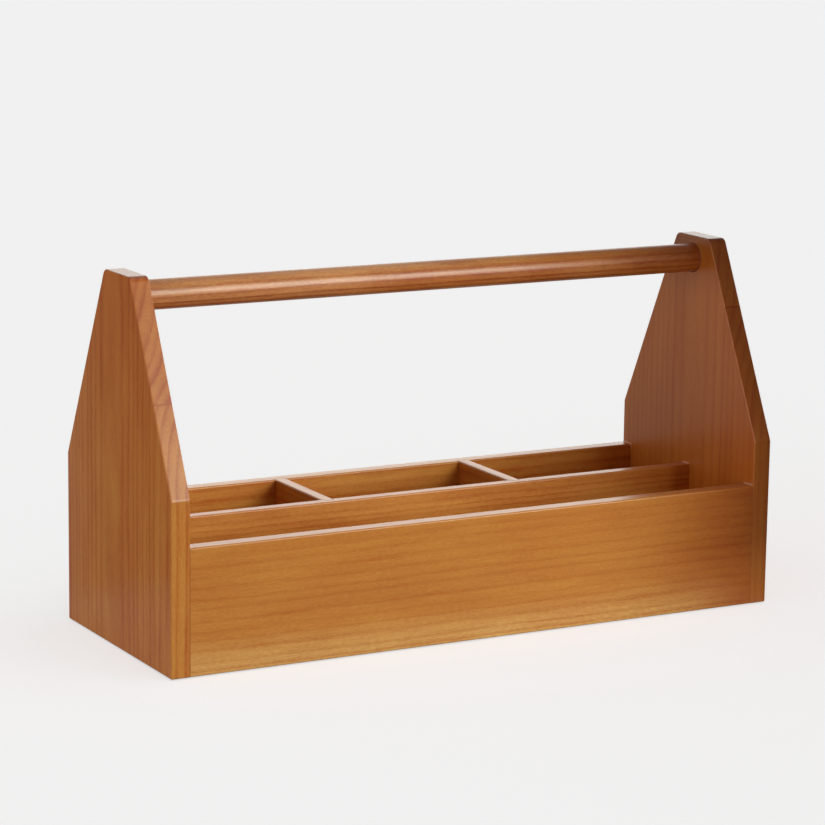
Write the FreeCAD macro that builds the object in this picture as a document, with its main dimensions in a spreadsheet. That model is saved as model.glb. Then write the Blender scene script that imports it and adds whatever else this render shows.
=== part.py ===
import FreeCAD, Part
import os
import re
import Sketcher
from FreeCAD import Vector

# A carry-along utensil caddy made of stained and lacquered wood, in millimetres.
# Two shaped ends stand on their bottom edges. A front wall and a back wall are butted between them and
# pinned, a base slides in grooves, and a round handle is glued in blind sockets under the two crowns.
# One divider runs the whole length, and two cross dividers split the space behind it into three bays.
# X runs along the handle, the undivided compartment faces -Y, and Z = 0 is the surface it stands on.

SIZES = {
    # the whole caddy
    "caddy_length": 410,
    "caddy_depth": 152,
    "caddy_height": 224,
    # the two ends: upright to the shoulder, then sloping in to a flat crown
    "end_thickness": 12,
    "shoulder_height": 104,
    "crown_width": 37,
    "crown_radius": 5,
    "shoulder_radius": 3,
    "end_arris_radius": 0.8,
    # the walls and dividers, whose top edges are all level
    "wall_height": 76,
    "wall_thickness": 10,
    "divider_thickness": 8,
    "board_arris_radius": 1,
    # the base and the groove it sits in
    "base_thickness": 6,
    "base_lift": 6,
    "groove_depth": 4,
    # the housings that take the ends of the dividers
    "end_housing_depth": 4,
    "cross_housing_depth": 3,
    # the handle and its blind sockets
    "handle_diameter": 18,
    "handle_drop": 14,
    "handle_chamfer": 0.8,
    "socket_depth": 8,
    # the pins in the butt joints
    "pin_diameter": 6,
    "pin_length": 24,
    "pin_depth_in_end": 8,
    "pin_first_height": 24,
    "pin_top_margin": 10,
    "pin_chamfer": 0.8,
    "pins_per_joint": 3,
    # room for glue beside a piece in its slot, and room left at the bottom of a slot or hole
    "glue_gap": 0.1,
    "end_gap": 0.4,
}

HALF_DEPTH = "caddy_depth / 2"
INNER_LENGTH = "(caddy_length - 2 * end_thickness)"
INNER_HALF_DEPTH = "(caddy_depth / 2 - wall_thickness)"
BASE_TOP = "(base_lift + base_thickness)"
DIVIDER_FACE = "divider_thickness / 2"
BAY_PITCH = "((caddy_length - 2 * end_thickness - 2 * divider_thickness) / 3 + divider_thickness)"
PIN_LINE = "(caddy_depth / 2 - wall_thickness / 2)"
PIN_HOLE_DIAMETER = "pin_diameter + glue_gap"
PIN_SPACING = "(wall_height - pin_top_margin - pin_first_height) / (pins_per_joint - 1)"
HANDLE_HEIGHT = "caddy_height - handle_drop"

TINY = 1e-6

document = FreeCAD.newDocument("utensil_caddy")


def make_size_sheet():
    """Put every driving dimension in a spreadsheet cell that carries its name."""
    sheet = document.addObject("Spreadsheet::Sheet", "sizes")
    for row, (name, size) in enumerate(SIZES.items(), start=1):
        sheet.set(f"A{row}", name.replace("_", " "))
        sheet.set(f"B{row}", str(size))
        sheet.setAlias(f"B{row}", name)
    document.recompute()


def bind(item, prop, expression):
    """Tie a property to an expression in which each size name stands for its cell."""
    def as_cell(word):
        return f"sizes.{word[0]}" if word[0] in SIZES else word[0]

    item.setExpression(prop, re.sub(r"[a-z_]+", as_cell, expression))


def signed(side, expression):
    """The expression on the positive or the negative side of the origin."""
    return expression if side > 0 else f"-({expression})"


# ---- sketches ----------------------------------------------------------------------------------------


def new_body(label):
    body = document.addObject("PartDesign::Body", label)
    body.Label = label
    return body


def new_sketch(body, name, plane, offset=None):
    """A sketch on one of the body's own origin planes, moved along the plane's normal if need be."""
    sketch = body.newObject("Sketcher::SketchObject", name)
    support = next(item for item in body.Origin.OriginFeatures if item.Role == plane)
    sketch.AttachmentSupport = [(support, "")]
    sketch.MapMode = "FlatFace"
    if offset:
        bind(sketch, "AttachmentOffset.Base.z", offset)
    document.recompute()
    return sketch


def dimension(sketch, kind, references, expression):
    """Add a driving dimension and bind it."""
    index = sketch.addConstraint(Sketcher.Constraint(kind, *references, 1.0))
    bind(sketch, f"Constraints[{index}]", expression)


def place_point(sketch, geometry, corner, across, up):
    """Fix a point at a bound distance from the sketch's origin, both ways."""
    origin = (-1, 1)
    dimension(sketch, "DistanceX", (*origin, geometry, corner), across)
    dimension(sketch, "DistanceY", (*origin, geometry, corner), up)


def closed_outline(sketch, corners):
    """Join the corners, in order, by straight lines. Each corner is a pair of expressions."""
    first = sketch.GeometryCount
    last = len(corners) - 1
    for index in range(len(corners)):
        # a rough start that the dimensions pull into place
        start = Vector(index, index**2, 0)
        sketch.addGeometry(Part.LineSegment(start, start + Vector(1, 1, 0)))
    for index, (across, up) in enumerate(corners):
        following = 0 if index == last else index + 1
        sketch.addConstraint(Sketcher.Constraint("Coincident", first + index, 2, first + following, 1))
        place_point(sketch, first + index, 1, across, up)
    document.recompute()


def rectangle(sketch, left, right, bottom, top):
    closed_outline(sketch, [(left, bottom), (right, bottom), (right, top), (left, top)])


def circle(sketch, across, up, diameter):
    index = sketch.addGeometry(Part.Circle(Vector(0, 0, 0), Vector(0, 0, 1), 1))
    place_point(sketch, index, 3, across, up)
    dimension(sketch, "Diameter", (index,), diameter)
    document.recompute()


# ---- features ----------------------------------------------------------------------------------------


def sketch_normal(sketch):
    return sketch.Placement.Rotation.multVec(Vector(0, 0, 1))


def pad(body, name, sketch, length, towards=None):
    """Thicken a sketch, to one side of it or, with no direction, to both."""
    feature = body.newObject("PartDesign::Pad", name)
    feature.Profile = sketch
    bind(feature, "Length", length)
    if towards is None:
        feature.SideType = "Symmetric"
    else:
        feature.Reversed = sketch_normal(sketch).dot(towards) < 0
    document.recompute()
    return feature


def pocket(body, name, sketch, depth, towards):
    """Cut a sketch into the body, and make sure that wood was taken away."""
    before = body.Tip.Shape.Volume
    feature = body.newObject("PartDesign::Pocket", name)
    feature.Profile = sketch
    feature.Reversed = sketch_normal(sketch).dot(towards) > 0
    bind(feature, "Length", depth)
    document.recompute()
    if feature.Shape.Volume > before - TINY:
        raise RuntimeError(f"{body.Label}: {name} cuts nothing")
    return feature


def repeat_upwards(body, name, features, sketch):
    """Repeat what is at the first pin's height at every other pin's height of the joint."""
    pattern = body.newObject("PartDesign::LinearPattern", name)
    pattern.Originals = features
    pattern.Direction = (sketch, ["V_Axis"])
    pattern.Mode = "Spacing"
    bind(pattern, "Offset", PIN_SPACING)
    bind(pattern, "Occurrences", "pins_per_joint")
    body.Tip = pattern
    document.recompute()
    return pattern


def edge_names(shape, chosen):
    """Names of the edges whose box, seen against the whole shape's box, is one that was asked for."""
    whole = shape.BoundBox
    return [f"Edge{n}" for n, edge in enumerate(shape.Edges, start=1) if chosen(edge.BoundBox, whole)]


def dress_edges(body, kind, name, size_name, expression, chosen):
    base = body.Tip
    names = edge_names(base.Shape, chosen)
    if not names:
        raise RuntimeError(f"{body.Label}: {name} finds no edge")
    feature = body.newObject(kind, name)
    feature.Base = (base, names)
    bind(feature, size_name, expression)
    document.recompute()
    return feature


def round_edges(body, name, radius, chosen):
    return dress_edges(body, "PartDesign::Fillet", name, "Radius", radius, chosen)


def bevel_edges(body, name, size, chosen):
    return dress_edges(body, "PartDesign::Chamfer", name, "Size", size, chosen)


def runs_along_x(edge):
    return edge.YLength < TINY and edge.ZLength < TINY


def runs_along_y(edge):
    return edge.XLength < TINY and edge.ZLength < TINY


def lies_across_x(edge):
    return edge.XLength < TINY


def at_top(edge, whole):
    return edge.ZMin > whole.ZMax - TINY


def at_bottom(edge, whole):
    return edge.ZMax < whole.ZMin + TINY


# ---- the pieces --------------------------------------------------------------------------------------


def make_end(label, side):
    """A shaped end: grain upright, with all its joinery cut into the inner face, which lies at x = 0."""
    outwards = Vector(side, 0, 0)
    body = new_body(label)

    outline = new_sketch(body, f"{label}_outline", "YZ_Plane")
    half_outline = [(HALF_DEPTH, "0"), (HALF_DEPTH, "shoulder_height"), ("crown_width / 2", "caddy_height")]
    other_half = [(signed(-1, across), up) for across, up in reversed(half_outline)]
    closed_outline(outline, half_outline + other_half)
    pad(body, f"{label}_board", outline, "end_thickness", outwards)

    round_edges(body, f"{label}_crown_corners", "crown_radius",
                lambda edge, board: runs_along_x(edge) and at_top(edge, board))
    round_edges(body, f"{label}_shoulders", "shoulder_radius", is_shoulder)
    round_edges(body, f"{label}_arrises", "end_arris_radius", is_end_arris)

    groove = new_sketch(body, f"{label}_groove_outline", "YZ_Plane")
    groove_reach = f"{INNER_HALF_DEPTH} + groove_depth"
    rectangle(groove, signed(-1, groove_reach), groove_reach, "base_lift", f"{BASE_TOP} + glue_gap")
    pocket(body, f"{label}_base_groove", groove, "groove_depth", outwards)

    housing = new_sketch(body, f"{label}_housing_outline", "YZ_Plane")
    housing_reach = f"{DIVIDER_FACE} + glue_gap"
    rectangle(housing, signed(-1, housing_reach), housing_reach, BASE_TOP, "wall_height")
    pocket(body, f"{label}_divider_housing", housing, "end_housing_depth", outwards)

    socket = new_sketch(body, f"{label}_socket_outline", "YZ_Plane")
    circle(socket, "0", HANDLE_HEIGHT, "handle_diameter + glue_gap")
    pocket(body, f"{label}_handle_socket", socket, "socket_depth", outwards)

    holes = new_sketch(body, f"{label}_pin_hole_outline", "YZ_Plane")
    circle(holes, signed(-1, PIN_LINE), "pin_first_height", PIN_HOLE_DIAMETER)
    circle(holes, PIN_LINE, "pin_first_height", PIN_HOLE_DIAMETER)
    lowest = pocket(body, f"{label}_lowest_pin_holes", holes, "pin_depth_in_end + end_gap", outwards)
    repeat_upwards(body, f"{label}_pin_holes", [lowest], holes)

    bind(body, "Placement.Base.x", signed(side, "caddy_length / 2 - end_thickness"))
    return body


def is_shoulder(edge, whole):
    """The thickness-long edges between the crown's rounded corners and the bottom."""
    across_the_board = runs_along_x(edge) and edge.XLength > whole.XLength - TINY
    at_the_side = edge.YMax > whole.YMax - TINY or edge.YMin < whole.YMin + TINY
    return across_the_board and at_the_side and not at_bottom(edge, whole)


def is_end_arris(edge, whole):
    """Every edge of the two broad faces, and the two bottom corners between them."""
    return lies_across_x(edge) or (runs_along_x(edge) and at_bottom(edge, whole))


def make_wall(label, side, has_housings):
    """The front or back wall: grain lengthwise, inner face at y = 0, butted between the two ends."""
    outwards = Vector(0, side, 0)
    half_length = f"{INNER_LENGTH} / 2"
    body = new_body(label)

    outline = new_sketch(body, f"{label}_outline", "XZ_Plane")
    rectangle(outline, signed(-1, half_length), half_length, "0", "wall_height")
    pad(body, f"{label}_board", outline, "wall_thickness", outwards)
    round_edges(body, f"{label}_arrises", "board_arris_radius", lambda e, w: runs_along_x(e))

    groove = new_sketch(body, f"{label}_groove_outline", "XZ_Plane")
    rectangle(groove, signed(-1, half_length), half_length, "base_lift", f"{BASE_TOP} + glue_gap")
    pocket(body, f"{label}_base_groove", groove, "groove_depth", outwards)

    if has_housings:
        cut_cross_housings(body, label, "0", outwards)

    for end_name, end_side in (("left", -1), ("right", 1)):
        name = f"{label}_{end_name}"
        holes = new_sketch(body, f"{name}_pin_hole_outline", "YZ_Plane", signed(end_side, half_length))
        circle(holes, signed(side, "wall_thickness / 2"), "pin_first_height", PIN_HOLE_DIAMETER)
        depth = "pin_length - pin_depth_in_end + end_gap"
        lowest = pocket(body, f"{name}_lowest_pin_hole", holes, depth, Vector(-end_side, 0, 0))
        repeat_upwards(body, f"{name}_pin_holes", [lowest], holes)

    bind(body, "Placement.Base.y", signed(side, INNER_HALF_DEPTH))
    return body


def cut_cross_housings(body, label, face, inwards):
    """Two upright housings, open at the top, for the ends of the cross dividers."""
    half_width = "(divider_thickness / 2 + glue_gap)"
    # the XZ plane's normal points along -Y, so an offset along it has the other sign
    outline = new_sketch(body, f"{label}_housing_outline", "XZ_Plane", signed(-1, face))
    for side in (-1, 1):
        middle = signed(side, f"{BAY_PITCH} / 2")
        rectangle(outline, f"{middle} - {half_width}", f"{middle} + {half_width}", BASE_TOP, "wall_height")
    pocket(body, f"{label}_cross_housings", outline, "cross_housing_depth", inwards)


def make_long_divider(label):
    """The divider that stands on the base's middle line, with its ends in the housings of the two ends."""
    half_length = f"({INNER_LENGTH} / 2 + end_housing_depth - end_gap)"
    body = new_body(label)
    outline = new_sketch(body, f"{label}_outline", "XZ_Plane")
    rectangle(outline, signed(-1, half_length), half_length, BASE_TOP, "wall_height")
    pad(body, f"{label}_board", outline, "divider_thickness")
    round_edges(body, f"{label}_arrises", "board_arris_radius",
                lambda edge, board: runs_along_x(edge) and at_top(edge, board))
    cut_cross_housings(body, label, DIVIDER_FACE, Vector(0, -1, 0))
    return body


def make_cross_divider(label, side):
    """A short divider between the long divider and the back wall, housed in both."""
    near = f"{DIVIDER_FACE} - cross_housing_depth + end_gap"
    far = f"{INNER_HALF_DEPTH} + cross_housing_depth - end_gap"
    body = new_body(label)
    outline = new_sketch(body, f"{label}_outline", "YZ_Plane")
    rectangle(outline, near, far, BASE_TOP, "wall_height")
    pad(body, f"{label}_board", outline, "divider_thickness")
    round_edges(body, f"{label}_arrises", "board_arris_radius",
                lambda edge, board: runs_along_y(edge) and at_top(edge, board))
    bind(body, "Placement.Base.x", signed(side, f"{BAY_PITCH} / 2"))
    return body


def make_base(label):
    """The base, whose four edges lie in the grooves of the walls and ends."""
    half_length = f"({INNER_LENGTH} / 2 + groove_depth - end_gap)"
    half_depth = f"({INNER_HALF_DEPTH} + groove_depth - end_gap)"
    body = new_body(label)
    outline = new_sketch(body, f"{label}_outline", "XY_Plane", "base_lift")
    rectangle(outline, signed(-1, half_length), half_length, signed(-1, half_depth), half_depth)
    pad(body, f"{label}_board", outline, "base_thickness", Vector(0, 0, 1))
    return body


def make_handle(label):
    """The round handle, glued into a blind socket in each end."""
    body = new_body(label)
    section = new_sketch(body, f"{label}_section", "YZ_Plane")
    circle(section, "0", HANDLE_HEIGHT, "handle_diameter")
    pad(body, f"{label}_rod", section, f"{INNER_LENGTH} + 2 * (socket_depth - end_gap)")
    bevel_edges(body, f"{label}_end_bevels", "handle_chamfer", lambda e, w: lies_across_x(e))
    return body


def make_joint_pins(label):
    """The glued pins that hold the butt joints: a column of them at each end of each wall."""
    body = new_body(label)
    outer_face = f"{INNER_LENGTH} / 2 + pin_depth_in_end"
    sections = new_sketch(body, f"{label}_sections", "YZ_Plane", outer_face)
    circle(sections, signed(-1, PIN_LINE), "pin_first_height", "pin_diameter")
    circle(sections, PIN_LINE, "pin_first_height", "pin_diameter")
    lowest = pad(body, f"{label}_lowest", sections, "pin_length", Vector(-1, 0, 0))
    bevels = bevel_edges(body, f"{label}_bevels", "pin_chamfer", lambda e, w: lies_across_x(e))
    repeat_upwards(body, f"{label}_right_joints", [lowest, bevels], sections)

    mirror = body.newObject("PartDesign::Mirrored", f"{label}_both_ends")
    mirror.TransformMode = "Whole shape"
    middle = next(item for item in body.Origin.OriginFeatures if item.Role == "YZ_Plane")
    mirror.MirrorPlane = (middle, [""])
    body.Tip = mirror
    document.recompute()
    return body


def make_pieces():
    return [
        make_end("left_end_panel", -1),
        make_end("right_end_panel", 1),
        make_wall("front_panel", -1, has_housings=False),
        make_wall("back_panel", 1, has_housings=True),
        make_base("base_panel"),
        make_long_divider("long_divider"),
        make_cross_divider("cross_divider_left", -1),
        make_cross_divider("cross_divider_right", 1),
        make_handle("handle_dowel"),
        make_joint_pins("joint_pins"),
    ]


# ---- checking and writing ----------------------------------------------------------------------------


def check_document():
    for item in document.Objects:
        if {"Invalid", "Error"} & set(item.State):
            raise RuntimeError(f"{item.Label} could not be built")


def check_piece(body):
    if body.Shape.isNull() or not body.Shape.isValid():
        raise RuntimeError(f"{body.Label} has no valid shape")


def write_pieces(pieces):
    os.makedirs("parts", exist_ok=True)
    for body in pieces:
        body.Shape.exportStep(f"parts/{body.Label}.step")


make_size_sheet()
pieces = make_pieces()
document.recompute()
check_document()
for piece in pieces:
    check_piece(piece)
write_pieces(pieces)
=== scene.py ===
from math import radians
import bpy
from mathutils import Matrix, Vector


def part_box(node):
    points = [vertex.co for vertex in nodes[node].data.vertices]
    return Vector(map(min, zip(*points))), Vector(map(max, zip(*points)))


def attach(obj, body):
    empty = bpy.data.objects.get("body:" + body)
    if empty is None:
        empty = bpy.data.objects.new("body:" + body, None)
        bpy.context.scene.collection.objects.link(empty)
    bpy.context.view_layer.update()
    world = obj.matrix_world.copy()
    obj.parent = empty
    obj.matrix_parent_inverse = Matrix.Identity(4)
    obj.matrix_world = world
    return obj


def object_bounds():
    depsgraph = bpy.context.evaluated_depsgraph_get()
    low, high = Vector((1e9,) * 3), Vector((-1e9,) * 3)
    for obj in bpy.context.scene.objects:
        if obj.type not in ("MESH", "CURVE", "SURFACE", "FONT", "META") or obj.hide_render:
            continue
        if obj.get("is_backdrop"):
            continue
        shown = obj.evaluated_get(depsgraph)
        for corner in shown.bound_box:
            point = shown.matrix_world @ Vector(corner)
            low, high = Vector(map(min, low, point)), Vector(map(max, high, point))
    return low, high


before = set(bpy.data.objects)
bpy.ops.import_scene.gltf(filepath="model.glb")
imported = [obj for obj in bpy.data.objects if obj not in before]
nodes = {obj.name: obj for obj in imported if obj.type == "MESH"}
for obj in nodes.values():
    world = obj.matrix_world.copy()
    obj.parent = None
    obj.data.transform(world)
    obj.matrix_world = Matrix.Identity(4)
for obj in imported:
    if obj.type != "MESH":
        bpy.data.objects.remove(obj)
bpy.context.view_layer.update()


# ---- Camera ------------------------------------------------------------------
# A long lens from the front left, a little above the caddy. It is held in the hand,
# so the horizon leans by under a degree.
def facing(place, aim):
    """The turn that points a camera, a lamp or a card from its place to its aim."""
    return (Vector(aim) - Vector(place)).to_track_quat("-Z", "Y")


camera_place, camera_aim = (-0.9156, -1.6543, 0.4982), (-0.0090, 0.0, 0.1257)
camera_lean = radians(0.79)
focal_length, sensor_width = 136.99, 36.0

bpy.ops.object.select_all(action="DESELECT")
bpy.ops.object.camera_add(location=camera_place)
camera = bpy.context.object
camera.name = "camera"
camera.data.lens = focal_length
camera.data.sensor_width = sensor_width
camera.data.dof.use_dof = False
look = facing(camera_place, camera_aim).to_matrix()
camera.rotation_euler = (look @ Matrix.Rotation(camera_lean, 3, "Z")).to_euler()
scene = bpy.context.scene
scene.camera = camera
scene.view_settings.view_transform = "Standard"


# ---- Room and floor ----------------------------------------------------------
# A pale seamless paper floor in a pale room. The camera sees both in one tone, and the
# lacquer mirrors the room in it, but the room throws only a little light on the caddy.
def linear(code):
    """An sRGB hex colour as linear red, green, blue and alpha."""
    channels = [int(code[i:i + 2], 16) / 255 for i in (1, 3, 5)]
    return tuple(c / 12.92 if c <= 0.04045 else ((c + 0.055) / 1.055) ** 2.4
                 for c in channels) + (1.0,)


def add(tree, kind, *values, **settings):
    """Adds a node. values go to its sockets in order, or by name in a dict, where a node
    stands for its first output; settings go on the node itself."""
    node = tree.nodes.new("ShaderNode" + kind)
    for setting, value in settings.items():
        setattr(node, setting, value)
    if len(values) == 1 and isinstance(values[0], dict):
        pairs = [(node.inputs[name], value) for name, value in values[0].items()]
    else:
        pairs = zip([socket for socket in node.inputs if socket.enabled], values)
    for socket, value in pairs:
        if isinstance(value, bpy.types.Node):
            value = [output for output in value.outputs if output.enabled][0]
        if isinstance(value, bpy.types.NodeSocket):
            tree.links.new(value, socket)
        elif value is not None:
            socket.default_value = value
    return node


def bare_material(name):
    """A new material, and its node tree with nothing in it yet."""
    material = bpy.data.materials.new(name)
    material.use_nodes = True
    material.node_tree.nodes.clear()
    return material, material.node_tree


white = (1, 1, 1, 1)
room_light = 0.22
world = bpy.data.worlds.new("pale_room")
scene.world = world
world.use_nodes = True
tree = world.node_tree
tree.nodes.clear()
path = add(tree, "LightPath").outputs
seen = add(tree, "Math", path["Is Camera Ray"], path["Is Glossy Ray"], operation="MAXIMUM")
seen = add(tree, "Math", seen, path["Is Transmission Ray"], operation="MAXIMUM")
room = add(tree, "Background", white, room_light)
backdrop = add(tree, "Background", linear("#EFEFEF"), 1.0)
add(tree, "OutputWorld", add(tree, "MixShader", seen, room, backdrop))

# matt paper, even and without a horizon: a part of its tone is a glow, which the lacquer
# mirrors at a fifth. It lies a hair below the boards' lower edges
floor_size, floor_height = 60.0, -0.0006
paper_glow, mirrored_glow = 0.606, 0.2
bpy.ops.object.select_all(action="DESELECT")
bpy.ops.mesh.primitive_plane_add(size=floor_size, location=(0, 0, floor_height))
floor = bpy.context.object
floor.name = "studio_floor"
bpy.ops.object.transform_apply(location=True)
paper, tree = bare_material("floor_paper")
path = add(tree, "LightPath").outputs
seen = add(tree, "Math", path["Is Camera Ray"], path["Is Transmission Ray"], operation="MAXIMUM")
seen = add(tree, "Math", path["Is Glossy Ray"], mirrored_glow, seen, operation="MULTIPLY_ADD")
glow = add(tree, "Emission", white, add(tree, "Math", seen, paper_glow, operation="MULTIPLY"))
matt = add(tree, "BsdfDiffuse", linear("#C4C4C4"))
add(tree, "OutputMaterial", add(tree, "AddShader", matt, glow))
floor.data.materials.append(paper)
floor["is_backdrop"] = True


# ---- Lamps -------------------------------------------------------------------
# A big soft box high on the front right is the main light. Weaker boxes fill in from
# the left and the right and rim the back, and a wide sun lights the floor alone.
on_floor = bpy.data.collections.new("lit_by_sun")
on_floor.objects.link(floor)
on_object = bpy.data.collections.new("lit_by_boxes")
for node in nodes.values():
    on_object.objects.link(node)
in_the_way = bpy.data.collections.new("shades_boxes")
in_the_way.children.link(on_object)

# kind, name, place, aim, size in metres or the sun's angle, power, tint, what it lights, and
# what stops it, where None is everything that casts a shadow
for kind, name, place, aim, size, power, tint, lit, stopped_by in (
        ("SUN", "floor_sun", (0.25, -0.9, 2.0), (0.0, 0.0, 0.0),
         1.4, 0.95, (1.0, 1.0, 1.0), on_floor, on_object),
        ("AREA", "key_box", (0.82, -1.45, 0.70), (0.0, 0.0, 0.15),
         (0.95, 0.85), 26.0, (0.97, 1.03, 0.97), on_object, in_the_way),
        ("AREA", "left_fill", (-2.0, -0.35, 0.45), (0.0, 0.0, 0.08),
         (1.2, 1.1), 17.5, (1.0, 0.84, 0.78), on_object, None),
        ("AREA", "back_box", (1.25, 2.30, 0.75), (0.0, 0.0, 0.10),
         (2.4, 1.1), 13.2, (0.97, 0.98, 0.90), on_object, in_the_way),
        ("AREA", "right_fill", (2.0, 0.40, 0.30), (0.0, 0.0, 0.10),
         (1.0, 0.9), 9.0, (1.0, 0.95, 0.88), on_object, on_object)):
    bpy.ops.object.select_all(action="DESELECT")
    bpy.ops.object.light_add(type=kind, location=place)
    lamp = bpy.context.object
    lamp.name = name
    lamp.rotation_euler = facing(place, aim).to_euler()
    lamp.data.energy = power
    lamp.data.color = tint
    lamp.visible_camera = False
    if kind == "SUN":
        lamp.data.angle = size
    else:
        lamp.data.shape = "RECTANGLE"
        lamp.data.size, lamp.data.size_y = size
    lamp.light_linking.receiver_collection = lit
    lamp.light_linking.blocker_collection = stopped_by


# ---- Cards around the caddy --------------------------------------------------
# The camera doesn't see them. Shade cards keep light off the right end, flags darken what
# the lacquer mirrors, as dark furniture would, and flag_low does both. A tan card keeps
# the left end from mirroring the floor. Every card glows faintly in its colour: the cards
# that shade throw a little warm brown light on the right end, and the shade cards show a
# paler glow in the lacquer, a painted reflection.
cards = {}
for name, colour, mirrored_colour in (("shade", "#61351D", "#A08976"),
                                      ("flag", "#61351D", "#61351D"),
                                      ("tan", "#6C6155", "#6C6155")):
    cards[name], tree = bare_material(name + "_card")
    in_mirror = add(tree, "LightPath").outputs["Is Glossy Ray"]
    colour = add(tree, "Mix", in_mirror, linear(colour), linear(mirrored_colour), data_type="RGBA")
    add(tree, "OutputMaterial", add(tree, "Emission", colour, 1.0))

# name, place, aim, size, whether it casts a shadow, and whether the lacquer mirrors it
for name, place, aim, size, shades, mirrored in (
        ("shade_card_high", (0.501, -0.23, 0.4375), (0.501, 0.0, 0.4375),
         (0.558, 0.505), True, True),
        ("flag_low", (0.514, -0.23, 0.1275), (0.514, 0.0, 0.1275), (0.57, 0.115), True, True),
        ("shade_card_above", (0.28, -0.06, 0.34), (0.28, -0.06, 0.0), (0.38, 0.32), True, True),
        ("shade_card_crown", (0.10, -0.04, 0.28), (1.00, -0.04, 0.28), (0.30, 0.116), True, False),
        ("flag_front", (0.265, -0.23, 0.035), (0.265, 0.0, 0.035), (1.03, 0.068), False, True),
        ("flag_floor", (0.41, -0.155, 0.0), (0.41, -0.155, 1.0), (0.40, 0.145), False, True),
        ("tan_card_left", (-0.45, 0.003, 0.15), (-0.402, -0.085, 0.15), (0.5, 0.294), False, True),
        ("flag_over_key", (0.80, -1.42, 1.62), (0.0, 0.0, 0.30), (2.6, 1.10), False, True)):
    bpy.ops.object.select_all(action="DESELECT")
    bpy.ops.mesh.primitive_plane_add(size=1.0)
    card = bpy.context.object
    card.name = name
    bpy.ops.transform.resize(value=(*size, 1.0))
    bpy.ops.object.transform_apply(scale=True)
    card.location = place
    card.rotation_euler = facing(place, aim).to_euler()
    bpy.ops.object.transform_apply(location=True, rotation=True)
    card.visible_camera = False
    card.visible_shadow = shades
    card.visible_glossy = mirrored
    card.visible_diffuse = shades and mirrored
    card.data.materials.append(cards[name.split("_")[0]])
    if mirrored:
        in_the_way.objects.link(card)
    card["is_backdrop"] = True


# ---- End panels --------------------------------------------------------------
# Two shaped boards of plantation fir, 12 mm thick with upright grain, each glued up
# from two strips edge to edge. Stained amber, sanded and sprayed with satin lacquer.
def lacquered_fir(name, turn, heart, ring=4.8, along=0.0, strip=None, sapwood=None,
                  rings_show=0.75, figure=1.0, cloudy=1.0, tone=0.0, redder=(400, 900),
                  stain=("#D0923E", "#AA5200")):
    """Stained fir under satin lacquer: thin straight brown lines on honey, in soft clouds, under
    an even, quiet shine. All sizes are in mm. turn lays the grain along the pattern's Z, heart
    is where the growth rings are centred across it, ring is their spacing, and along moves the
    pattern along the grain, so that no two boards match. strip is where a second strip is glued
    on, and how much darker it is. sapwood is the ring radius past which the wood is pale.
    rings_show, figure and cloudy are how strongly the rings, the whole pattern and the clouds
    of stain show, and tone darkens it all. redder holds the two places along the grain between
    which the wood turns redder and darker, as painted shade, and stain its colours on early and
    on late wood."""
    material, tree = bare_material(name)
    where = add(tree, "TexCoord").outputs["Object"]
    board = add(tree, "Mapping", {"Vector": where, "Rotation": turn, "Scale": (1000, 1000, 1000),
                                  "Location": (0, 0, along)})
    place = add(tree, "SeparateXYZ", board).outputs
    wood = add(tree, "VectorMath", board, (*heart, 0), operation="SUBTRACT")
    shade = tone
    if strip:
        line, change = strip
        from_another_tree, glue_line = (66, -94, 0), 0.6
        beyond = add(tree, "Math", place["Y"], line, operation="GREATER_THAN")
        wood = add(tree, "VectorMath", beyond, from_another_tree, wood, operation="MULTIPLY_ADD")
        shade = add(tree, "Math", beyond, change, tone, operation="MULTIPLY_ADD")
        glue = add(tree, "Math", place["Y"], line, glue_line / 2, operation="COMPARE")

    # noise drawn out along the grain, by its reach across and along it
    noise = {}
    for pattern, wide, long, detail in (("wander", 60, 210, 2.0), ("waver", 9, 42, 3.0),
                                        ("patch", 14, 65, 3.0), ("blush", 22, 150, 2.0)):
        drawn = add(tree, "VectorMath", wood, (1 / wide, 1 / wide, 1 / long), operation="MULTIPLY")
        noise[pattern] = add(tree, "TexNoise", {"Vector": drawn, "Scale": 1.0,
                                                "Detail": detail}).outputs
    patch, blush = noise["patch"]["Fac"], noise["blush"]["Fac"]

    # growth rings, which wander by a few mm along the board, and whose spacing changes over
    # 16 mm of the tree's radius
    bent, middle = wood, (0.5, 0.5, 0.5)
    for pattern, reach in (("wander", 5.0), ("waver", 1.5)):
        aside = add(tree, "VectorMath", noise[pattern]["Color"], middle, operation="SUBTRACT")
        bent = add(tree, "VectorMath", aside, (reach, reach, 0), bent, operation="MULTIPLY_ADD")
    flat = add(tree, "VectorMath", bent, (1, 1, 0), operation="MULTIPLY")
    radius = add(tree, "VectorMath", flat, operation="LENGTH").outputs["Value"]
    pace = add(tree, "TexNoise", {"W": radius, "Scale": 1 / 16, "Detail": 1.0},
               noise_dimensions="1D").outputs["Fac"]
    rings = add(tree, "Math", radius, 1 / ring, operation="MULTIPLY")
    rings = add(tree, "Math", pace, 1.6, rings, operation="MULTIPLY_ADD")

    # each is pale early wood shading into a thin line of late wood, and no two are equally dark
    late_wood = add(tree, "ValToRGB", add(tree, "Math", rings, operation="FRACT"))
    steps = late_wood.color_ramp.elements
    steps[0].color = steps[1].color = (0.40, 0.40, 0.40, 1)
    for step, value in ((0.09, 0.12), (0.38, 0.08), (0.64, 0.42), (0.84, 1.0), (0.94, 0.85)):
        steps.new(step).color = (value, value, value, 1)
    strong = add(tree, "TexWhiteNoise", add(tree, "Math", rings, operation="FLOOR"),
                 noise_dimensions="1D")
    strong = add(tree, "Math", strong, 0.6, 0.15, operation="MULTIPLY_ADD")
    strong = add(tree, "Math", patch, 0.7, strong, operation="MULTIPLY_ADD")
    late_wood = add(tree, "Math", late_wood, strong, operation="MULTIPLY")

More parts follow.
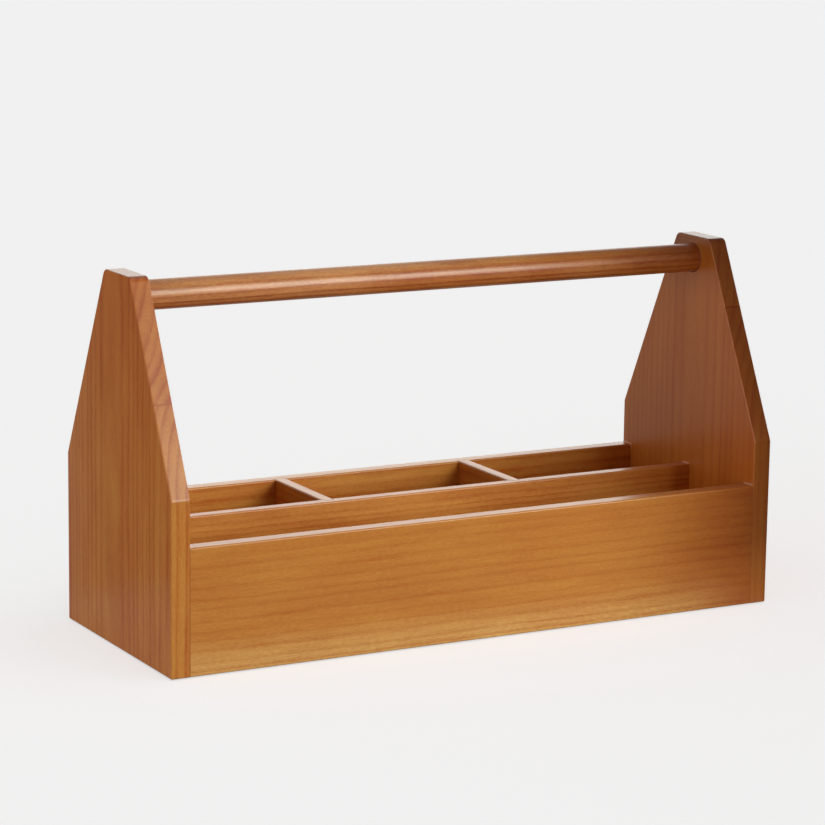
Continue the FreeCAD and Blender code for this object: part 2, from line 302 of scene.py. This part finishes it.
    # fibres under a millimetre across, drawn a little coarse so that they show, and among
    # them shorter flecks
    for pattern, wide, long, detail in (("fibre", 0.7, 22, 3.0), ("fleck", 0.9, 3.0, 2.0)):
        drawn = add(tree, "VectorMath", bent, (1 / wide, 1 / wide, 1 / long), operation="MULTIPLY")
        noise[pattern] = add(tree, "TexNoise", {"Vector": drawn, "Scale": 1.0, "Detail": detail,
                                                "Roughness": 0.6}).outputs
    fibre, fleck = noise["fibre"]["Fac"], noise["fleck"]["Fac"]

    # the wood's ends and its slopes show the rings more, because they soak up more stain
    cut = add(tree, "Mapping", {"Vector": add(tree, "NewGeometry").outputs["Normal"],
                                "Rotation": turn}, vector_type="VECTOR")
    cut = add(tree, "SeparateXYZ", cut).outputs["Z"]
    slope = add(tree, "Math", cut, cut, operation="MULTIPLY")
    grain_end = add(tree, "Math", slope, slope, operation="MULTIPLY")

    # how deep the stain looks, from 0 to 1; common is what rings, fibres, flecks and patches
    # come to on average
    common = (0.50 + 0.42 * cloudy + 0.14 * rings_show) * figure
    ring_weight = add(tree, "Math", slope, 0.7, 0.55 * rings_show * figure,
                      operation="MULTIPLY_ADD")
    depth = add(tree, "Math", late_wood, ring_weight, 0.5 - common, operation="MULTIPLY_ADD")
    for pattern, weight in ((fibre, 0.45), (fleck, 0.55), (patch, 0.85 * cloudy)):
        depth = add(tree, "Math", pattern, weight * figure, depth, operation="MULTIPLY_ADD")
    depth = add(tree, "Math", depth, shade)
    if strip:
        depth = add(tree, "Math", glue, 0.35, depth, operation="MULTIPLY_ADD")
    depth = add(tree, "Math", grain_end, 0.4, depth, operation="MULTIPLY_ADD", use_clamp=True)

    # the stain takes redder in some patches, and paler in the sapwood. Towards one end the wood
    # turns redder and darker as painted shade, with a border ragged by 60 mm
    so_far = add(tree, "Math", blush, 60, place["Z"], operation="MULTIPLY_ADD")
    painted_shade_end = add(tree, "MapRange", so_far, redder[0] + along, redder[1] + along, 0.0, 1.0)
    red_patch = add(tree, "MapRange", blush, 0.44, 0.70, 0.0, 0.65 * cloudy)
    red_patches_and_shade = add(tree, "Math", red_patch, painted_shade_end, operation="MAXIMUM")
    early = add(tree, "Mix", red_patches_and_shade, linear(stain[0]), linear("#C2742A"), data_type="RGBA")
    late = add(tree, "Mix", red_patches_and_shade, linear(stain[1]), linear("#9C4200"), data_type="RGBA")
    if sapwood:
        pale_wood = add(tree, "MapRange", radius, sapwood - 8, sapwood + 8, 0.0, 1.0)
        not_red = add(tree, "Math", 1.0, painted_shade_end, operation="SUBTRACT")
        pale_wood = add(tree, "Math", pale_wood, not_red, operation="MULTIPLY")
        early = add(tree, "Mix", pale_wood, early, linear("#EABE70"), data_type="RGBA")
    colour = add(tree, "Mix", depth, early, late, data_type="RGBA")
    soaked = add(tree, "Math", grain_end, 0.6, operation="MULTIPLY")
    colour = add(tree, "Mix", soaked, colour, linear("#7A3E10"), data_type="RGBA")

    # satin lacquer: level and smooth, with a trace of the fibre telegraphing through
    satin = add(tree, "MapRange", fibre, 0.3, 0.7, 0.30, 0.38)
    level = add(tree, "Math", 1.0, grain_end, operation="SUBTRACT")
    height = add(tree, "Math", fibre, level, operation="MULTIPLY")
    relief = add(tree, "Bump", {"Strength": 0.15, "Distance": 0.00003, "Height": height})
    add(tree, "OutputMaterial", add(tree, "BsdfPrincipled", {
        "Base Color": colour, "Roughness": satin, "IOR": 1.5, "Normal": relief}))
    return material


def cover(piece, material):
    """The whole of a piece in one material."""
    piece.data.materials.clear()
    piece.data.materials.append(material)


upright = (0, 0, 0)
# the left end turns redder and darker towards its top: painted shade
cover(nodes["left_end_panel"], lacquered_fir(
    "stained_fir_left_end", upright, heart=(-169, -86), strip=(-51.5, 0.07),
    cloudy=0.85, tone=-0.09, redder=(60, 280)))
# the right end is stained redder and darker than the left, and its front strip darker than its
# back one: painted shade, deepening the shade that falls on this end
cover(nodes["right_end_panel"], lacquered_fir(
    "stained_fir_right_end", upright, heart=(238, -100), ring=5.2, along=300.0,
    strip=(-38.0, -0.14), rings_show=0.6, figure=0.65, cloudy=0.7, tone=0.05,
    stain=("#C87F32", "#9E4602")))


# ---- Front and back panels ---------------------------------------------------
# Planed fir boards, 10 mm thick, with the grain running the length of the caddy.
# They butt between the ends on hidden glued pins.
lengthwise = (0, radians(-90), 0)
# the front turns redder and darker towards its right end: painted shade
cover(nodes["front_panel"], lacquered_fir(
    "stained_fir_front", lengthwise, heart=(-160, 20), ring=5.0, along=90.0, sapwood=176.0,
    rings_show=0.42, cloudy=0.5, redder=(140, 205)))
# the back turns redder and darker towards its right end: painted shade
cover(nodes["back_panel"], lacquered_fir(
    "stained_fir_back", lengthwise, heart=(80, -30), ring=5.0, along=700.0, rings_show=0.55,
    figure=1.3, tone=-0.08, redder=(120, 230), stain=("#DE9E48", "#BA5C06")))


# ---- Base panel --------------------------------------------------------------
# A thin fir board let into grooves in the four sides, 6 mm clear of the floor.
cover(nodes["base_panel"], lacquered_fir(
    "stained_fir_base", lengthwise, heart=(60, 10), ring=5.5, along=1300.0))


# ---- Long divider and cross dividers -----------------------------------------
# Thinner fir boards standing on the base. The long one is housed in both ends, and
# the two short ones between it and the back panel make three bays.
# the long divider turns redder and darker towards its right end: painted shade
cover(nodes["long_divider"], lacquered_fir(
    "stained_fir_long_divider", lengthwise, heart=(50, -35), along=1900.0, rings_show=0.55,
    figure=1.4, tone=-0.13, redder=(130, 230), stain=("#D48E40", "#AE5004")))
crosswise = (radians(90), 0, 0)
for side, heart, along in (("left", (-100, 40), 50.0), ("right", (20, 50), 450.0)):
    cover(nodes[f"cross_divider_{side}"], lacquered_fir(
        f"stained_fir_cross_{side}", crosswise, heart, ring=4.4, along=along,
        stain=("#DE9E48", "#BA5C06")))


# ---- Handle ------------------------------------------------------------------
# A turned fir dowel, 18 mm across, glued into a blind socket in each end. It is browner
# than the boards, because a turned face takes more stain.
# the handle turns redder and darker towards its right end: painted shade
cover(nodes["handle_dowel"], lacquered_fir(
    "stained_fir_handle", lengthwise, heart=(-180, 10), ring=3.2, along=2500.0, sapwood=45.0,
    rings_show=0.8, figure=1.3, tone=0.05, redder=(90, 250), stain=("#D8955A", "#96481C")))


# ---- Joint pins --------------------------------------------------------------
# Ready-made beech pins, ribbed by the machine and left bare, out of sight in the joints:
# dry and pale, with short rays along them.
beech, tree = bare_material("bare_beech")
where = add(tree, "TexCoord").outputs["Object"]
ray = add(tree, "Mapping", {"Vector": where, "Scale": (120, 900, 900)})  # 8 mm long, 1 mm across
ray = add(tree, "TexNoise", {"Vector": ray, "Scale": 1.0, "Detail": 3.0})
colour = add(tree, "Mix", ray, linear("#DDBE97"), linear("#C29A6C"), data_type="RGBA")
add(tree, "OutputMaterial", add(tree, "BsdfPrincipled", {"Base Color": colour, "Roughness": 0.75}))
cover(nodes["joint_pins"], beech)


# ---- Lacquer beads -----------------------------------------------------------
# Sprayed lacquer gathers where a top edge meets an end. A bead climbs the last few mm of
# the board's inner face, bends over its rounded arris, crosses its top and thins out on
# the far arris. Thick, wet-looking lacquer catches the light as a short bright thread, and
# its colour is painted paler than the wood around it, a painted highlight that keeps the
# thread bright also in shade.
def clouded_film(name, thin, full, cloud, roughness):
    """A film of lacquer or glue with stain in it, in clouds of so many mm."""
    material, tree = bare_material(name)
    where = add(tree, "TexCoord").outputs["Object"]
    clouds = add(tree, "TexNoise", {"Vector": where, "Scale": 1000 / cloud, "Detail": 2.0})
    colour = add(tree, "Mix", clouds, linear(thin), linear(full), data_type="RGBA")
    add(tree, "OutputMaterial", add(tree, "BsdfPrincipled", {
        "Base Color": colour, "Roughness": roughness, "IOR": 1.5}))
    return material


def start_circle(place, radius, vertices, standing=False, fill_type="NGON"):
    """A circle, open to editing, that lies level or stands upright and faces the front."""
    bpy.ops.object.select_all(action="DESELECT")
    bpy.ops.mesh.primitive_circle_add(vertices=vertices, radius=radius, fill_type=fill_type,
                                      rotation=(radians(90 if standing else 0), 0, 0),
                                      location=place)
    circle = bpy.context.object
    bpy.ops.object.transform_apply(location=True, rotation=True)
    bpy.ops.object.mode_set(mode="EDIT")
    bpy.ops.mesh.select_all(action="SELECT")
    return circle


def draw_out(move, growth=(1, 1, 1), centre=(0, 0, 0)):
    """Extrudes the open end by move, and then widens or narrows it about a centre."""
    bpy.ops.mesh.extrude_region_move(TRANSFORM_OT_translate={"value": move})
    bpy.ops.transform.resize(value=growth, center_override=centre)


def close_up(piece, material):
    """Ends the editing of a closed piece, with its faces outwards, smooth and covered."""
    bpy.ops.mesh.select_all(action="SELECT")
    bpy.ops.mesh.remove_doubles(threshold=0.00001)
    bpy.ops.mesh.normals_make_consistent(inside=False)
    bpy.ops.object.mode_set(mode="OBJECT")
    bpy.ops.object.shade_smooth_by_angle(angle=radians(50))
    cover(piece, material)


def lay_copy(pattern, name, x, y, turn=0, stretch=1.0):
    """A copy of a piece that was made at the middle of the caddy: stretched in depth, turned
    by so many degrees, moved to x and y, and fixed to the body."""
    bpy.ops.object.select_all(action="DESELECT")
    pattern.select_set(True)
    bpy.context.view_layer.objects.active = pattern
    bpy.ops.object.duplicate()
    copy = bpy.context.object
    copy.name = name
    bpy.ops.transform.resize(value=(1, stretch, 1), center_override=(0, 0, 0))
    bpy.ops.transform.rotate(value=radians(turn), orient_axis="Z", center_override=(0, 0, 0))
    bpy.ops.transform.translate(value=(x, y, 0))
    bpy.ops.object.transform_apply(location=True, rotation=True, scale=True)
    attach(copy, "root")
    on_object.objects.link(copy)


# lacquer painted paler than the wood: partly a painted highlight
pale_lacquer_painted_highlight = clouded_film("pooled_lacquer", "#D79A66", "#B8703A", cloud=2.5, roughness=0.16)
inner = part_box("right_end_panel")[0][0]
low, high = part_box("long_divider")
face, thick, top = high[1], high[1] - low[1], high[2]
arris, bead_radius = 0.001, 0.0006
climb, taper = 0.0045, 0.003

bead = start_circle((0, face, top - climb), bead_radius / 4, vertices=14)
draw_out((0, 0, taper), (4, 4, 1), (0, face, 0))
draw_out((0, 0, climb - taper - arris))
bpy.ops.mesh.spin(steps=6, angle=radians(-90), center=(0, face - arris, top - arris),
                  axis=(1, 0, 0))
draw_out((0, 2 * arris - thick, 0))
height = top
for forth, down, growth in ((0.0005, 0.0001, 0.7), (0.0004, 0.0003, 0.4)):
    height -= down
    draw_out((0, -forth, -down), (growth, 1, growth), (0, 0, height))
close_up(bead, pale_lacquer_painted_highlight)
for short, board, turn in (("divider", "long_divider", 0), ("front", "front_panel", 0),
                           ("back", "back_panel", 180)):
    low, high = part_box(board)
    middle, stretch = (low[1] + high[1]) / 2, (high[1] - low[1]) / thick
    for side, x in (("left", -inner), ("right", inner)):
        lay_copy(bead, f"lacquer_bead_{short}_{side}", x, middle, turn, stretch)
bpy.data.objects.remove(bead)


# ---- Socket lines ------------------------------------------------------------
# Glue squeezed out around the handle where it enters its two sockets, under lacquer: a
# dull ring, darker than the wood, that has run down a little before it set. Its dark colour
# is partly painted shade, for the shade where the dowel meets the end.
line_radius, gap, sag = 0.0004, 0.0001, 1.015
low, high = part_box("handle_dowel")
axis_height, handle_radius = (low[2] + high[2]) / 2, high[1]
crest = axis_height + handle_radius + gap

line = start_circle((0, 0, crest), line_radius, vertices=10, standing=True, fill_type="NOTHING")
bpy.ops.mesh.spin(steps=96, angle=radians(360), center=(0, 0, axis_height), axis=(1, 0, 0))
bpy.ops.mesh.select_all(action="SELECT")
bpy.ops.transform.resize(value=(1, 1, sag), center_override=(0, 0, crest))
close_up(line, clouded_film("socket_glue_and_painted_shade", "#96501E", "#783C14",
                            cloud=10 / 3, roughness=0.6))
for side, x in (("left", -inner), ("right", inner)):
    lay_copy(line, f"socket_line_{side}", x, 0)
bpy.data.objects.remove(line)


# ---- Seam lines --------------------------------------------------------------
# Glue under lacquer down the four butt joints. It fills the rounded arrises to both sides
# of the joint, flush with the faces, as a dull line a little browner than the wood.
seam_radius, aside = 0.0006, 0.00035
foot, taper, reach, swell, cap = 0.0005, 0.001, 0.0122, 0.97, 0.0006

seam = start_circle((0, 0, foot), seam_radius / 2, vertices=24)
draw_out((0, 0, taper), (2, 2, 1))
for growth in (1 / swell, swell) * 3:
    draw_out((0, 0, reach), (growth, growth, 1))
draw_out((0, 0, cap), (0.5, 0.5, 1))
close_up(seam, clouded_film("seam_glue_under_lacquer", "#B6641A", "#94480C",
                            cloud=10 / 3, roughness=0.6))
for end, y in (("front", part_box("front_panel")[0][1] + seam_radius),
               ("back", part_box("back_panel")[1][1] - seam_radius)):
    for side, x in (("left", -inner - aside), ("right", inner + aside)):
        lay_copy(seam, f"seam_line_{end}_{side}", x, y)
bpy.data.objects.remove(seam)


# ---- Lacquer drops -----------------------------------------------------------
# Where a cross divider enters the top of the long divider or the back panel, lacquer has
# filled the corner beside the board's rounded arris: it starts inside the joint, 3 mm
# deep, and thins out just past the face.
drop_radius, proud, start, inset = 0.0006, 0.00002, 0.0008, 0.00025
height = top + proud - drop_radius

drop = start_circle((0, start, height), drop_radius / 2, vertices=16, standing=True)
for forth, down, growth in ((0.0002, 0.0, 2.0), (0.0020, 0.0, 1.0), (0.0006, 0.00012, 1.0),
                            (0.0004, 0.00025, 0.9), (0.0003, 0.00035, 0.5)):
    height -= down
    draw_out((0, forth, -down), (growth, 1, growth), (0, 0, height))
close_up(drop, pale_lacquer_painted_highlight)
across_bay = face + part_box("back_panel")[0][1]
for board in ("left", "right"):
    low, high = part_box(f"cross_divider_{board}")
    for end, y, turn in (("front", 0.0, 0), ("back", across_bay, 180)):
        for side, x in (("left", low[0] + inset), ("right", high[0] - inset)):
            lay_copy(drop, f"lacquer_drop_{board}_{end}_{side}", x, y, turn)
bpy.data.objects.remove(drop)


low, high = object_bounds()
